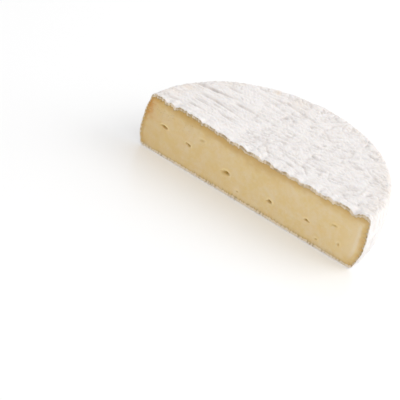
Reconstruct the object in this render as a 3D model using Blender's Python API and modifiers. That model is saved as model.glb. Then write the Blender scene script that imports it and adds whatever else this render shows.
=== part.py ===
"""Half of a small brie wheel, cut straight across and lying on its flat underside.

The wheel is a turned barrel: a slightly sunken top, a rounded shoulder, bulging sides and a flat base.
Its bloomy rind is puckered into long wrinkles on the top and into upright ones round the side.
The cut face looks along -Y and shows the small gas holes (eyes) of the paste.
The origin is the centre of the bounding box's underside. Units are metres.
"""

import math

import bmesh
import bpy
import numpy as np

# Wheel
WHEEL_RADIUS = 0.0578
RIM_HEIGHT = 0.0271
TOP_SAG = 0.0014
WAIST_HEIGHT = 0.0090
TOP_EDGE_DRAW_IN = 0.0013
BASE_EDGE_DRAW_IN = 0.0024
LEAN = 0.0017
SHOULDER_RADIUS = 0.0026
FOOT_RADIUS = 0.0022

# Mesh density
TURN_STEPS = 96
TOP_RINGS = 38
SHOULDER_STEPS = 4
SIDE_STEPS = 9
FOOT_STEPS = 3
EYE_SEGMENTS = 12
EYE_RINGS = 8

# Wrinkles of the rind
WRINKLE_HEIGHT = 0.00022
LONG_WRINKLE_TURN = math.radians(3)
LONG_WRINKLE_RUN = 0.0180
LONG_WRINKLE_SPACING = 0.0048
SHORT_WRINKLE_TURN = math.radians(22)
CROSS_WRINKLE_TURN = math.radians(-28)
SHORT_WRINKLE_RUN = 0.0050
SHORT_WRINKLE_SPACING = 0.0037
CROSS_WRINKLE_CELL = 0.0130
SHORT_WRINKLE_START = -0.022
SHORT_WRINKLE_FULL = 0.008
STREAK_RUN = 0.0140
STREAK_SPACING = 0.0044
SWELL_HEIGHT = 0.00025
SWELL_CELL = 0.0170
LUMP_HEIGHT = 0.00016
LUMP_CELL = 0.0050
EDGE_LIFT = 0.0005
EDGE_REACH = 0.0035
NOISE_SIZE = 64
TILE_POINTS = 512
TILE_STEP = 0.00025

# Long creases at the left end of the top: start x, start y, end x, end y, half width, depth
LONG_CREASES = (
    (-0.0500, 0.0234, -0.0460, 0.0252, 0.0011, 0.00065),
    (-0.0460, 0.0252, -0.0310, 0.0274, 0.0011, 0.00060),
    (-0.0440, 0.0182, -0.0210, 0.0190, 0.0010, 0.00055),
    (-0.0440, 0.0129, -0.0330, 0.0128, 0.0009, 0.00042),
    (-0.0310, 0.0124, -0.0190, 0.0123, 0.0009, 0.00042),
    (-0.0440, 0.0069, -0.0310, 0.0074, 0.0008, 0.00034),
    (-0.0405, 0.0326, -0.0330, 0.0334, 0.0008, 0.00030),
)

# Rises and dips of the top: x, y, radius, height
BANKS = (
    (-0.0380, 0.0020, 0.0080, 0.00075),
    (-0.0300, 0.0020, 0.0160, 0.00050),
    (0.0120, 0.0000, 0.0050, -0.00035),
    (0.0350, 0.0030, 0.0120, -0.00035),
    (0.0492, 0.0000, 0.0028, -0.00050),
)

# Dips of the crumpled top edge at the cut: x, depth, half width
EDGE_DIPS = (
    (-0.0484, 0.0008, 0.0013),
    (-0.0440, 0.0014, 0.0015),
    (-0.0369, 0.0005, 0.0009),
    (-0.0294, 0.0007, 0.0010),
    (-0.0210, 0.0005, 0.0013),
    (-0.0137, 0.0009, 0.0019),
    (-0.0056, 0.0009, 0.0017),
    (0.0016, 0.0010, 0.0012),
    (0.0089, 0.0010, 0.0013),
    (0.0112, 0.0004, 0.0014),
    (0.0170, 0.0006, 0.0014),
    (0.0226, 0.0008, 0.0019),
    (0.0302, 0.0009, 0.0011),
    (0.0384, 0.0008, 0.0013),
    (0.0492, 0.0013, 0.0014),
)

# Eyes in the cut face: across, height above the base, width, height, depth, tilt in degrees
EYES = (
    (-0.0468, 0.0150, 0.0041, 0.0012, 0.0016, -12),
    (-0.0332, 0.0126, 0.0029, 0.0015, 0.0016, -8),
    (-0.0267, 0.0181, 0.0026, 0.0016, 0.0006, 5),
    (-0.0125, 0.0098, 0.0043, 0.0025, 0.0022, 14),
    (0.0111, 0.0088, 0.0029, 0.0019, 0.0018, 8),
    (0.0298, 0.0102, 0.0031, 0.0015, 0.0016, -6),
    (0.0427, 0.0150, 0.0026, 0.0013, 0.0008, 6),
    (0.0364, 0.0042, 0.0017, 0.0011, 0.0007, 10),
    (0.0466, 0.0078, 0.0014, 0.0020, 0.0007, 0),
    (-0.0048, 0.0046, 0.0017, 0.0012, 0.0007, 0),
)

PASTE_COLOUR = (0.72, 0.55, 0.30, 1.0)
RIND_COLOUR = (0.86, 0.83, 0.79, 1.0)


def clear_scene():
    for obj in list(bpy.data.objects):
        bpy.data.objects.remove(obj)


def make_material(name, colour, roughness):
    material = bpy.data.materials.new(name)
    material.use_nodes = True
    shader = material.node_tree.nodes["Principled BSDF"]
    shader.inputs["Base Color"].default_value = colour
    shader.inputs["Roughness"].default_value = roughness
    shader.inputs["Metallic"].default_value = 0.0
    return material


def make_collection(name):
    collection = bpy.data.collections.new(name)
    bpy.context.scene.collection.children.link(collection)
    return collection


def smooth_noise(x, y, cell_x, cell_y, seed):
    """Random heights from -1 to 1 on a lattice of cells, blended with a smooth step."""
    heights = np.random.default_rng(seed).uniform(-1.0, 1.0, (NOISE_SIZE, NOISE_SIZE))
    px, py = x / cell_x, y / cell_y
    ix, iy = np.floor(px).astype(int), np.floor(py).astype(int)
    fx, fy = px - ix, py - iy
    fx, fy = fx * fx * (3 - 2 * fx), fy * fy * (3 - 2 * fy)
    x0, x1 = ix % NOISE_SIZE, (ix + 1) % NOISE_SIZE
    y0, y1 = iy % NOISE_SIZE, (iy + 1) % NOISE_SIZE
    low = heights[x0, y0] * (1 - fx) + heights[x1, y0] * fx
    high = heights[x0, y1] * (1 - fx) + heights[x1, y1] * fx
    return low * (1 - fy) + high * fy


def wave_tile(run, spacing, seed):
    """Random heights on a square that repeats, of which only waves near one spacing are kept, with crests that
    run for about a given length."""
    along = np.fft.fftfreq(TILE_POINTS, TILE_STEP)[None] * run
    across = np.abs(np.fft.fftfreq(TILE_POINTS, TILE_STEP)[:, None]) * spacing
    heights = np.random.default_rng(seed).standard_normal((TILE_POINTS, TILE_POINTS))
    kept = np.exp(-(((across - 1) / 0.35) ** 2) - along**2)
    heights = np.fft.ifft2(np.fft.fft2(heights) * kept).real
    return heights / heights.std()


def waves(x, y, turn, run, spacing, seed):
    """Wrinkles that run in a turned direction and wander a little, read from their tile."""
    x = x + 0.25 * run * smooth_noise(x, y, 0.011, 0.011, seed)
    y = y + 0.35 * spacing * smooth_noise(x, y, 0.009, 0.009, seed + 1)
    px = (x * math.cos(turn) + y * math.sin(turn)) / TILE_STEP
    py = (y * math.cos(turn) - x * math.sin(turn)) / TILE_STEP
    ix, iy = np.floor(px).astype(int), np.floor(py).astype(int)
    fx, fy = px - ix, py - iy
    tile = wave_tile(run, spacing, seed)
    x0, x1 = ix % TILE_POINTS, (ix + 1) % TILE_POINTS
    y0, y1 = iy % TILE_POINTS, (iy + 1) % TILE_POINTS
    near = tile[y0, x0] * (1 - fx) + tile[y0, x1] * fx
    far = tile[y1, x0] * (1 - fx) + tile[y1, x1] * fx
    return near * (1 - fy) + far * fy


def creased(wave):
    """Flat crests between narrow troughs."""
    return 0.6 * (1 - np.exp(-0.8 * np.clip(wave, -2, 2)))


def smooth_step(low, high, value):
    """0 below low, 1 above high, and smooth between."""
    t = np.clip((value - low) / (high - low), 0.0, 1.0)
    return t * t * (3 - 2 * t)


def long_creases(x, y):
    """Depth of the long creases, each with a bell for its section, deepest near its start."""
    depth = np.zeros_like(x)
    wander = 0.0007 * smooth_noise(x, y, 0.006, 0.006, 31)
    for x0, y0, x1, y1, width, deep in LONG_CREASES:
        dx, dy = x1 - x0, y1 - y0
        size = math.hypot(dx, dy)
        along = ((x - x0) * dx + (y - y0) * dy) / size
        across = ((y - y0) * dx - (x - x0) * dy) / size + wander
        ends = smooth_step(-0.0015, 0.003, along) * (1 - smooth_step(0.35 * size, size + 0.003, along))
        depth = np.maximum(depth, deep * ends * np.exp(-((across / width) ** 2)))
    return depth


def banks(x, y):
    """Height of the broad rises and dips of the top, each a round bell."""
    return sum(high * np.exp(-(((x - x0) ** 2 + (y - y0) ** 2) / size**2)) for x0, y0, size, high in BANKS)


def top_relief(x, y):
    """Height of the rind over the turned top: long wrinkles at one end turn into short ones that run two ways,
    on broad swells, and the edge at the cut is lifted and dips in furrows."""
    share = np.clip((x - SHORT_WRINKLE_START) / (SHORT_WRINKLE_FULL - SHORT_WRINKLE_START), 0.0, 1.0)
    long_waves = waves(x, y, LONG_WRINKLE_TURN, LONG_WRINKLE_RUN, LONG_WRINKLE_SPACING, 5)
    side = smooth_step(-0.3, 0.3, smooth_noise(x, y, CROSS_WRINKLE_CELL, CROSS_WRINKLE_CELL, 23))
    short_waves = waves(x, y, SHORT_WRINKLE_TURN, SHORT_WRINKLE_RUN, SHORT_WRINKLE_SPACING, 21) * side
    cross_waves = waves(x, y, CROSS_WRINKLE_TURN, SHORT_WRINKLE_RUN, SHORT_WRINKLE_SPACING, 22) * (1 - side)
    wrinkles = WRINKLE_HEIGHT * creased(long_waves * (1 - share) + (short_waves + cross_waves) * share)
    swells = SWELL_HEIGHT * smooth_noise(x, y, SWELL_CELL, SWELL_CELL, 7)
    lumps = LUMP_HEIGHT * smooth_noise(x, y, LUMP_CELL, LUMP_CELL, 8)
    dips = sum(deep * np.exp(-(((x - x0) / wide) ** 2)) for x0, deep, wide in EDGE_DIPS)
    scallops = (EDGE_LIFT - dips) * np.exp(-((y / EDGE_REACH) ** 2))
    return wrinkles + swells + lumps + scallops + banks(x, y) - long_creases(x, y)


def side_relief(arc, z):
    """Outward height of the side's rind: upright wrinkles that hang from the shoulder."""
    return WRINKLE_HEIGHT * creased(waves(z, arc, 0.05, STREAK_RUN, STREAK_SPACING, 11))


def side_radius(z):
    """The barrel's radius at a height: widest at the waist and drawn in towards both edges."""
    if z >= WAIST_HEIGHT:
        return WHEEL_RADIUS - TOP_EDGE_DRAW_IN * ((z - WAIST_HEIGHT) / (RIM_HEIGHT - WAIST_HEIGHT)) ** 2.6
    return WHEEL_RADIUS - BASE_EDGE_DRAW_IN * ((WAIST_HEIGHT - z) / WAIST_HEIGHT) ** 2.2


def wheel_profile():
    """(radius, height) from the middle of the top, outwards and down the side, to the middle of the base."""
    shoulder_z = RIM_HEIGHT - SHOULDER_RADIUS
    shoulder_x = side_radius(shoulder_z) - SHOULDER_RADIUS
    foot_x = side_radius(FOOT_RADIUS) - FOOT_RADIUS
    points = []
    for ring in range(TOP_RINGS + 1):
        radius = shoulder_x * ring / TOP_RINGS
        points.append((radius, RIM_HEIGHT - TOP_SAG * (1 - (radius / shoulder_x) ** 2)))
    for step in range(1, SHOULDER_STEPS + 1):
        angle = math.pi / 2 * (1 - step / SHOULDER_STEPS)
        points.append(
            (
                shoulder_x + SHOULDER_RADIUS * math.cos(angle),
                shoulder_z + SHOULDER_RADIUS * math.sin(angle),
            )
        )
    for step in range(1, SIDE_STEPS + 1):
        z = shoulder_z + (FOOT_RADIUS - shoulder_z) * step / SIDE_STEPS
        points.append((side_radius(z), z))
    for step in range(1, FOOT_STEPS + 1):
        angle = math.pi / 2 * step / FOOT_STEPS
        points.append((foot_x + FOOT_RADIUS * math.cos(angle), FOOT_RADIUS * (1 - math.sin(angle))))
    points.append((0.0, 0.0))
    return points


def turned_half(name, collection):
    """Turns the profile through half a turn, from +X over +Y to -X, which leaves the cut face open."""
    points = wheel_profile()
    mesh = bpy.data.meshes.new(name + "_profile")
    edges = [(i, i + 1) for i in range(len(points) - 1)]
    mesh.from_pydata([(x, 0.0, z) for x, z in points], edges, [])
    profile = bpy.data.objects.new(name + "_profile", mesh)
    collection.objects.link(profile)
    screw = profile.modifiers.new("turn", "SCREW")
    screw.angle = math.pi
    screw.steps = TURN_STEPS
    screw.render_steps = TURN_STEPS
    screw.use_merge_vertices = True
    screw.merge_threshold = 0.00001
    evaluated = profile.evaluated_get(bpy.context.evaluated_depsgraph_get())
    half = bpy.data.objects.new(name, bpy.data.meshes.new_from_object(evaluated))
    collection.objects.link(half)
    bpy.data.objects.remove(profile)
    return half


def pucker(half):
    """Leans the turned form, then lays the wrinkles on its top and round its side, fading to the base."""
    mesh = half.data
    co = np.empty(len(mesh.vertices) * 3, np.float32)
    mesh.vertices.foreach_get("co", co)
    co = co.reshape(-1, 3).astype(float)
    x, y, z = co.T
    angle = np.arctan2(y, x)
    shoulder = RIM_HEIGHT - SHOULDER_RADIUS
    top_share = np.clip((z - shoulder + TOP_SAG) / (SHOULDER_RADIUS * 0.8), 0.0, 1.0)
    side_share = (1.0 - top_share) * np.clip(z / (2 * FOOT_RADIUS), 0.0, 1.0)
    lift = top_relief(x, y) * top_share
    spread = side_relief(angle * WHEEL_RADIUS, z) * side_share
    on_cut = np.abs(y) < 1e-6
    co[:, 0] += spread * np.cos(angle) + LEAN * (z / RIM_HEIGHT - 0.5)
    co[:, 1] += spread * np.sin(angle)
    co[:, 2] += lift
    co[on_cut, 1] = 0.0
    mesh.vertices.foreach_set("co", co.astype(np.float32).ravel())
    mesh.update()


def close_cut(half):
    """Fills the open cut with one flat face of paste, and gives the faces their materials."""
    bm = bmesh.new()
    bm.from_mesh(half.data)
    bmesh.ops.remove_doubles(bm, verts=bm.verts, dist=0.00001)
    rim = [edge for edge in bm.edges if edge.is_boundary]
    filled = bmesh.ops.triangle_fill(bm, edges=rim, use_beauty=True, normal=(0.0, -1.0, 0.0))
    for face in bm.faces:
        face.smooth = False
    for item in filled["geom"]:
        if isinstance(item, bmesh.types.BMFace):
            item.material_index = 1
    bmesh.ops.recalc_face_normals(bm, faces=bm.faces)
    bm.to_mesh(half.data)
    bm.free()


def make_eye(index, eye, material, collection):
    """An ellipsoid across the cut plane, which leaves a shallow pit."""
    across, height, width, tall, depth, tilt = eye
    mesh = bpy.data.meshes.new(f"eye_{index}")
    bm = bmesh.new()
    bmesh.ops.create_uvsphere(bm, u_segments=EYE_SEGMENTS, v_segments=EYE_RINGS, radius=1.0)
    bm.to_mesh(mesh)
    bm.free()
    mesh.materials.append(material)
    cutter = bpy.data.objects.new(f"eye_{index}", mesh)
    cutter.location = (across, 0.0, height)
    cutter.rotation_euler = (0.0, -math.radians(tilt), 0.0)
    cutter.scale = (width / 2, depth, tall / 2)
    cutter.hide_render = True
    cutter.display_type = "WIRE"
    collection.objects.link(cutter)


def pit_eyes(half, material, collection):
    for index, eye in enumerate(EYES):
        make_eye(index, eye, material, collection)
    cut = half.modifiers.new("eyes", "BOOLEAN")
    cut.operation = "DIFFERENCE"
    cut.operand_type = "COLLECTION"
    cut.collection = collection
    cut.solver = "EXACT"


def centre_on_base(half):
    """Moves the mesh so that the origin is the middle of the bounding box's underside."""
    co = np.empty(len(half.data.vertices) * 3, np.float32)
    half.data.vertices.foreach_get("co", co)
    co = co.reshape(-1, 3)
    middle = (co.min(axis=0) + co.max(axis=0)) / 2
    offset = (float(-middle[0]), float(-middle[1]), float(-co[:, 2].min()))
    half.location = offset
    return offset


def main():
    clear_scene()
    brie = make_collection("brie")
    cutters = make_collection("eye_cutters")
    paste = make_material("paste", PASTE_COLOUR, 0.5)
    rind = make_material("rind", RIND_COLOUR, 0.9)
    half = turned_half("brie_half", brie)
    half.data.materials.append(rind)
    half.data.materials.append(paste)
    pucker(half)
    close_cut(half)
    pit_eyes(half, paste, cutters)
    offset = centre_on_base(half)
    for cutter in cutters.objects:
        cutter.location = [place + move for place, move in zip(cutter.location, offset)]


main()
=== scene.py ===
"""Half a small brie, dressed for the photograph: a creased white mould rind round a ripe straw-yellow paste.

The rind is a shell of its own thickness, and the paste fills it up to the cut. Both are surfaces worked out
from the same turned form as the solid, with finer creases, short pits, a ragged cut edge and the eyes of the
paste. The side is half a millimetre fuller than the solid's.
Lengths are metres. +X runs along the cut, +Y from the cut to the round back, and +Z is up.
"""

import math
from functools import lru_cache

import bmesh
import bpy
import numpy as np
from bpy.props import FloatProperty, FloatVectorProperty, IntProperty, PointerProperty
from mathutils import Euler, Matrix, Vector


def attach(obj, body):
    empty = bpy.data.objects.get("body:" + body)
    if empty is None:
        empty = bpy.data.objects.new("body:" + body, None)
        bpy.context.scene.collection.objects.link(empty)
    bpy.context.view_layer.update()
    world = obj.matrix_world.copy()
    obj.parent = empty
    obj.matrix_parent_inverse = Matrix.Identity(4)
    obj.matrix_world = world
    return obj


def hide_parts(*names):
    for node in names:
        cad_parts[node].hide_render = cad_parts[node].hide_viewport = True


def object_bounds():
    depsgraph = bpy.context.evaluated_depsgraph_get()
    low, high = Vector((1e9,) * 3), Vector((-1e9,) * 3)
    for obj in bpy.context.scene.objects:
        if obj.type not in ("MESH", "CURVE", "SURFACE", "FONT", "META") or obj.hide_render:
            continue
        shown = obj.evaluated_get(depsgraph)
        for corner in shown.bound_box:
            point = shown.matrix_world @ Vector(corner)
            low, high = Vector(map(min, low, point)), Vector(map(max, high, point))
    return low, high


bl_info = {
    "name": "Half Brie",
    "version": (1, 0, 0),
    "blender": (4, 5, 0),
    "location": "3D View > Sidebar > Brie",
    "description": "Models half a small brie with its mould rind, ripe paste and a plain studio stage",
    "category": "Add Mesh",
}

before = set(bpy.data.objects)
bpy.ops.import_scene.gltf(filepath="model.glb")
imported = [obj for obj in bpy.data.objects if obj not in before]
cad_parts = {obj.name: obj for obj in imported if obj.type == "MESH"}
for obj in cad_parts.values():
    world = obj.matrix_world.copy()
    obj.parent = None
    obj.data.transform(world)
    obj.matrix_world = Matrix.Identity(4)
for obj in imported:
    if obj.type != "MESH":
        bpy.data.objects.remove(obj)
cad_low, cad_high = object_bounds()

MM = 0.001

# Cells of a noise before it repeats, and points and step of the square that holds waves
NOISE_SIZE = 64
TILE_POINTS = 512
TILE_STEP = 0.25 * MM

# Points closer together than the first are joined, and a point closer to the cut than the second lies on it
MERGE_DISTANCE = 1e-6
CUT_DISTANCE = 1e-7

# Where the turned form stands in the row frame: its axis is at this X, and its cut face on the solid's own
AXIS_X = 0.1374 * MM
CUT_Y = cad_low.y

# Wrinkles of the rind: how far the crests are turned in radians, how far a crest runs, how far apart they
# lie, and a seed. Those of the top and the base are turned from X, and those of the side from upright.
LONG_WRINKLES = (math.radians(3), 18 * MM, 4.8 * MM, 5)
SHORT_WRINKLES = (math.radians(4), 6 * MM, 3.3 * MM, 22)
SLANTING_WRINKLES = (math.radians(32), 6 * MM, 3.6 * MM, 21)
FINE_LEFT_WRINKLES = (math.radians(6), 6 * MM, 2.3 * MM, 41)
FINE_RIGHT_WRINKLES = (math.radians(20), 4.5 * MM, 2.1 * MM, 42)
TOP_CREPE = (math.radians(-35), 2.6 * MM, 1.6 * MM, 43)
SIDE_WRINKLES = (0.05, 14 * MM, 4.4 * MM, 11)
FINE_SIDE_WRINKLES = (0.0, 6 * MM, 1.9 * MM, 53)
SIDE_CREPE = (0.1, 2 * MM, 1.2 * MM, 54)
BASE_DENTS = (0.5, 6 * MM, 3 * MM, 61)

# Long creases at the left end of the top: start x, start y, end x, end y, half width, depth, in millimetres
LONG_CREASES = (
    (-50.0, 23.4, -46.0, 25.0, 1.1, 0.60),
    (-50.0, 23.7, -29.0, 27.9, 1.0, 0.62),
    (-44.0, 18.2, -21.0, 19.0, 1.0, 0.55),
    (-44.0, 12.9, -33.0, 12.8, 0.9, 0.42),
    (-31.0, 12.4, -19.0, 12.3, 0.7, 0.36),
    (-44.0, 6.9, -28.0, 7.5, 0.8, 0.40),
    (-40.5, 32.6, -33.0, 33.4, 0.8, 0.30),
    (-43.0, 22.2, -35.0, 22.6, 0.5, 0.22),
    (-38.0, 15.6, -27.0, 15.9, 0.4, 0.18),
    (-30.5, 24.6, -17.0, 26.4, 0.9, 0.40),
    (-36.0, 9.8, -27.0, 10.2, 0.4, 0.16),
)

# Short pits of the top: x, y, half length, half width, turn in degrees, and depth, in millimetres. The one
# with a depth below 0 is a ridge.
PITS = (
    (46.9, 5.4, 1.5, 1.0, 90, 0.50),
    (49.6, 7.9, 0.9, 0.8, 0, 0.35),
    (46.4, 14.4, 1.8, 0.9, 60, 0.45),
    (44.1, 14.4, 6.0, 0.9, 100, -0.25),
    (37.4, 13.2, 2.8, 1.8, 50, 0.22),
    (41.2, 26.2, 2.8, 1.2, 120, 0.35),
    (31.9, 27.4, 3.4, 1.0, 12, 0.35),
    (24.9, 26.4, 1.0, 0.9, 0, 0.30),
    (25.4, 45.0, 1.6, 0.8, 120, 0.40),
    (15.9, 9.7, 1.2, 1.0, 0, 0.45),
    (14.9, 13.4, 3.0, 0.6, 115, 0.20),
    (18.9, 7.4, 3.0, 0.6, 135, 0.22),
    (5.6, 9.2, 1.1, 0.8, 0, 0.30),
    (0.9, 17.4, 3.6, 0.8, 15, 0.35),
    (10.4, 22.9, 1.5, 1.2, 0, 0.28),
    (13.4, 30.7, 1.1, 0.9, 0, 0.35),
    (1.9, 38.1, 1.4, 1.0, 0, 0.50),
    (-9.7, 34.2, 2.2, 1.0, 75, 0.55),
    (-5.9, 34.6, 1.2, 1.0, 90, 0.45),
    (-5.4, 42.0, 1.4, 0.9, 0, 0.35),
    (-14.1, 38.7, 1.4, 0.9, 0, 0.30),
    (-15.1, 44.4, 3.0, 0.8, 10, 0.35),
    (-15.6, 50.9, 1.0, 0.8, 0, 0.40),
    (-2.6, 51.0, 1.1, 0.7, 120, 0.45),
    (4.4, 52.4, 1.0, 0.8, 90, 0.35),
    (-18.6, 23.4, 2.2, 1.2, 100, 0.28),
    (-27.5, 21.8, 3.4, 0.8, 4, 0.30),
    (-20.5, 43.0, 3.0, 0.9, 8, 0.30),
    (-21.5, 38.2, 2.6, 0.8, 5, 0.28),
    (-21.0, 48.0, 2.4, 0.8, 20, 0.26),
    (3.6, 25.9, 3.0, 0.7, 5, 0.18),
    (4.4, 4.4, 2.6, 0.6, 35, 0.22),
    (-5.1, 6.9, 2.4, 0.7, 30, 0.16),
)

# Rises and dips of the top: x, y, radius, height, in millimetres
BANKS = (
    (-38.0, 2.0, 8.0, 0.75),
    (-30.0, 2.0, 16.0, 0.50),
    (12.0, 0.0, 5.0, -0.35),
    (35.0, 3.0, 12.0, -0.35),
    (48.9, 0.0, 2.4, -0.50),
    (54.2, 0.0, 3.0, 0.55),
)

# The crumpled top edge at the cut: how far it stands up, how far back from the cut that reaches, and its
# dips as x, depth and half width, in millimetres
EDGE_LIFT = 0.4 * MM
EDGE_REACH = 3.5 * MM
EDGE_DIPS = (
    (-48.4, 0.8, 1.3),
    (-44.0, 1.4, 1.5),
    (-36.9, 0.5, 0.9),
    (-29.4, 0.7, 1.0),
    (-21.0, 0.5, 1.3),
    (-13.2, 0.5, 1.7),
    (-5.3, 0.7, 1.5),
    (1.9, 0.7, 1.2),
    (8.9, 0.7, 1.3),
    (11.2, 0.4, 1.4),
    (16.8, 0.5, 1.4),
    (22.8, 0.5, 1.6),
    (30.5, 0.6, 1.1),
    (38.6, 0.6, 1.2),
    (48.9, 1.2, 1.2),
)

# Cream and pink patches of thin mould: x, y, radius and strength, in millimetres
TINTS = (
    (-23.5, 47.5, 1.6, 1.00),
    (-12.0, 49.0, 4.5, 0.35),
    (-50.5, 17.0, 3.0, 0.60),
    (-52.0, 9.0, 3.2, 0.45),
    (52.5, 13.0, 2.8, 0.40),
    (50.0, 24.0, 2.6, 0.45),
    (45.0, 34.0, 3.5, 0.40),
    (17.0, 54.0, 3.0, 0.50),
    (34.0, 45.0, 3.5, 0.45),
    (-38.0, 40.0, 2.5, 0.40),
)

# Eyes of the paste: across, height, width, height of the eye, depth, tilt in degrees, in millimetres
EYES = (
    (-46.3, 14.4, 4.2, 1.4, 1.5, -14),
    (-32.9, 12.6, 3.0, 1.5, 1.5, -10),
    (-26.7, 18.1, 3.2, 1.8, 0.4, 5),
    (-12.3, 9.9, 4.3, 2.4, 1.9, 14),
    (11.2, 8.7, 2.7, 1.7, 1.7, 8),
    (29.9, 10.1, 3.0, 1.3, 1.5, -10),
    (42.7, 15.0, 2.8, 1.3, 0.7, 8),
    (46.6, 7.8, 1.3, 1.9, 0.5, 0),
    (36.4, 4.2, 1.5, 0.9, 0.5, 10),
    (-4.8, 4.6, 1.5, 1.0, 0.5, 0),
)

# The rind's edge at the cut has a row of points at each of these shares across. The paste runs in under its
# last row by the overlap, and stands behind it by the set-back.
STRIP_SHARES = (0.06, 0.3, 0.55, 0.8, 1.0)
PASTE_OVERLAP = 0.08 * MM
PASTE_SET_BACK = 0.06 * MM

# Sizes of the patterns in the materials
FELT_BLOTCH = 3.85 * MM
FELT_TUFT = 0.77 * MM
CURD_CLOUD = 7.14 * MM
CURD_GRAIN = 1.11 * MM
GLOSS_PATCH = 333 * MM

# The studio: radii of the floor's rings, the dome's strength, and each softbox as its name, the way towards
# it, its distance, its size and its power
FLOOR_RINGS = (0.0, 0.3, 1.2)
DOME_STRENGTH = 0.86
SOFTBOXES = (
    ("key_softbox", (0.68, 0.5, 0.54), 0.9, 0.7, 3.4),
    ("fill_softbox", (0.7, -0.45, 0.5), 0.9, 0.9, 0.9),
)

# The camera at the photograph's angle: its place from the foot of the axis at the cut, its turns about X, Y
# and Z in degrees, and its lens and sensor width in millimetres
CAMERA_PLACE = (0.29168, -0.55984, 0.42009)
CAMERA_TURNS = (55.4020, -11.4787, 37.0103)
CAMERA_LENS = 162.0
CAMERA_SENSOR = 36.0


def linear(code):
    """An sRGB hex colour as linear red, green, blue and alpha."""
    values = [int(code[i : i + 2], 16) / 255 for i in (1, 3, 5)]
    return (*(v / 12.92 if v <= 0.04045 else ((v + 0.055) / 1.055) ** 2.4 for v in values), 1.0)


def length(label, description, value):
    """A length as a property, in metres."""
    limits = {"min": 0.0, "precision": 5, "subtype": "DISTANCE", "unit": "LENGTH"}
    return FloatProperty(name=label, description=description, default=value, **limits)


def colour(label, description, code):
    """A colour as a property, from its sRGB hex value."""
    limits = {"size": 4, "min": 0.0, "max": 1.0, "subtype": "COLOR"}
    return FloatVectorProperty(name=label, description=description, default=linear(code), **limits)


class BrieSizes(bpy.types.PropertyGroup):
    """Sizes of the cheese"""

    radius: length("Radius", "Radius of the whole round at its widest", 58.3 * MM)
    rim_height: length("Rim height", "Height of the top at the round's rim", 27.1 * MM)
    top_sag: length("Top sag", "How far the middle of the top lies below the rim", 1.4 * MM)
    waist: length("Waist height", "Height at which the side is widest", 12.0 * MM)
    top_draw_in: length("Top draw-in", "How far the side draws in at the top edge", 2.0 * MM)
    base_draw_in: length("Base draw-in", "How far the side draws in at the base", 3.15 * MM)
    lean: length("Lean", "How far the top is shifted along the cut, against the base", 1.7 * MM)
    shoulder: length("Shoulder radius", "Rounding between the top and the side", 2.6 * MM)
    foot: length("Foot radius", "Rounding between the side and the base", 2.2 * MM)
    rind_inset: length("Rind thickness", "Thickness of the rind away from the cut", 2.1 * MM)
    columns: IntProperty(name="Columns", description="Cells across, a multiple of 8", default=272, min=48)
    rows: IntProperty(name="Side rows", description="Cells down, a multiple of 4", default=52, min=12)


class BrieColours(bpy.types.PropertyGroup):
    """Colours of the cheese and of the stage, among them painted shade and a painted highlight"""

    bloom: colour("Bloom", "White mould on the folds", "#EEEAE8")
    # Painted shade of the creases, pits and dents; the same grey also marks the thinner felt
    crease_shade: colour("Crease", "Mould down in the creases", "#CDC6C2")
    rim_tint: colour("Rim tint", "Thin mould at the shoulder, where the rind shows through", "#E8DCD0")
    # Painted shade, drawn as a brown line along the rind's cut edge and along the paste against it
    rind_edge_shade: colour("Browned rind", "The rind next to the paste, where the knife went through", "#A08860")
    rind_crumb: colour("Rind crumb", "Pale crumb of the rind's outer skin at the cut", "#E4D3B9")
    paste: colour("Paste", "Ripe paste in the middle of the cut", "#DFC48C")
    paste_pale: colour("Pale paste", "Paler streaks in the paste", "#E3D0AE")
    ripe_edge: colour("Ripe edge", "Ochre band under the rind", "#C49E5A")
    amber: colour("Amber edge", "Deeper band at the ends of the cut", "#CC944A")
    # Painted shade inside the gas holes, stronger the deeper the hole
    eye: colour("Eye", "Inside of a gas hole", "#B9984A")
    # Painted highlight on the upper side of the raised ring about a gas hole
    lip_highlight: colour("Eye lip", "Raised lip about a gas hole", "#F0D8A0")
    floor: colour("Floor", "Plain pale studio floor", "#FCFCFC")


def smooth_noise(x, y, cell_x, cell_y, seed):
    """Random heights from -1 to 1 on a lattice of cells, blended between the four corners by a smooth
    step."""
    heights = np.random.default_rng(seed).uniform(-1.0, 1.0, (NOISE_SIZE, NOISE_SIZE))
    px, py = x / cell_x, y / cell_y
    ix, iy = np.floor(px).astype(int), np.floor(py).astype(int)
    fx, fy = px - ix, py - iy
    fx, fy = fx * fx * (3 - 2 * fx), fy * fy * (3 - 2 * fy)
    x0, x1 = ix % NOISE_SIZE, (ix + 1) % NOISE_SIZE
    y0, y1 = iy % NOISE_SIZE, (iy + 1) % NOISE_SIZE
    low = heights[x0, y0] * (1 - fx) + heights[x1, y0] * fx
    high = heights[x0, y1] * (1 - fx) + heights[x1, y1] * fx
    return low * (1 - fy) + high * fy


def smooth_step(low, high, value):
    """0 below low, 1 above high, and 3t^2 - 2t^3 between. It falls from 1 to 0 where low is the larger: 0
    above low, and 1 below high."""
    t = np.clip((value - low) / (high - low), 0.0, 1.0)
    return t * t * (3 - 2 * t)


@lru_cache
def wave_tile(along, across, seed):
    """Random heights on a square that repeats, of which only waves near one length are kept, by a bell
    about it. The across length is from crest to crest, and the along length is how far a crest runs."""
    run = np.fft.fftfreq(TILE_POINTS, TILE_STEP)[None] * along
    rise = np.abs(np.fft.fftfreq(TILE_POINTS, TILE_STEP)[:, None]) * across
    heights = np.random.default_rng(seed).standard_normal((TILE_POINTS, TILE_POINTS))
    heights = np.fft.ifft2(np.fft.fft2(heights) * np.exp(-(((rise - 1) / 0.35) ** 2) - run**2)).real
    return heights / heights.std()


def turned(x, y, angle):
    """How far points lie along and across a direction that is turned by an angle from X."""
    cosine, sine = math.cos(angle), math.sin(angle)
    return x * cosine + y * sine, y * cosine - x * sine


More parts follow.
